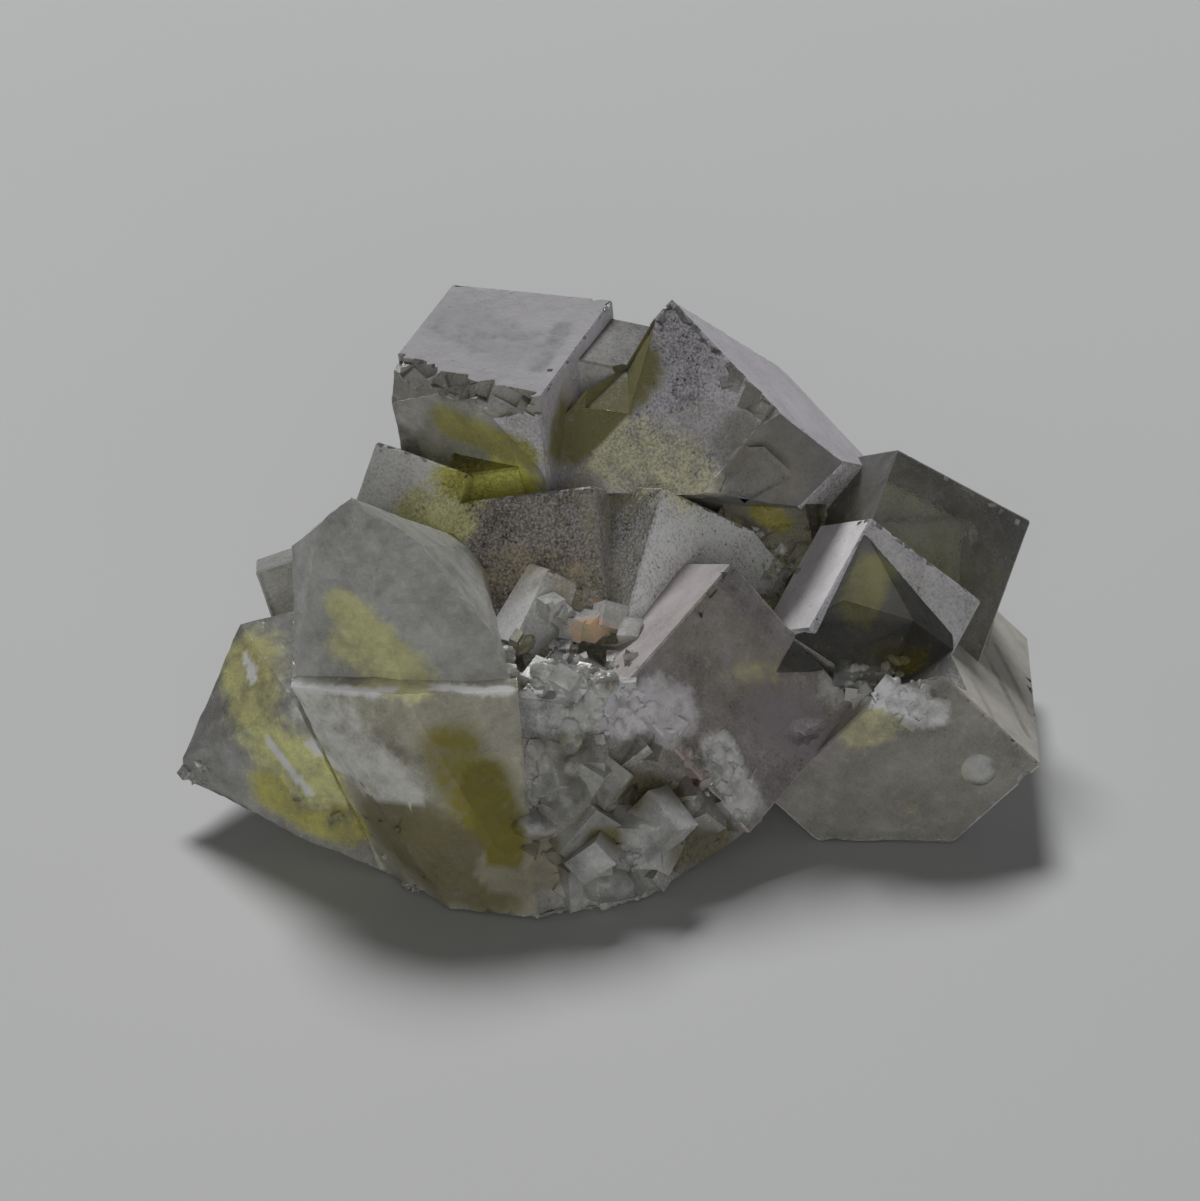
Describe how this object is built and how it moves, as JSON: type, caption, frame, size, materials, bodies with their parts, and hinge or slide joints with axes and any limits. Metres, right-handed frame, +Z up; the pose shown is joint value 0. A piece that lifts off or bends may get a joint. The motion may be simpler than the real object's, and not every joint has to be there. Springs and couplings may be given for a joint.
{
  "type": "fluorite cube cluster",
  "caption": "Hand specimen of fluorite: frosted cubes grown into one another over a broken, glassy yellow-green foot, standing free on its rough base",
  "frame": {"origin": "under the middle of the specimen's bounding box, on the plane it stands on", "axes": "+Z up, +X along the specimen's length to the right when seen from the front, -Y towards the viewer in front"},
  "size_m": [0.052, 0.0368, 0.028],
  "materials": {
    "fluorite": "frosted lilac-grey coat on the natural faces, clear yellow-green glass where broken"
  },
  "bodies": {
    "root": {"fluorite_cluster": "fluorite"}
  },
  "joints": []
}
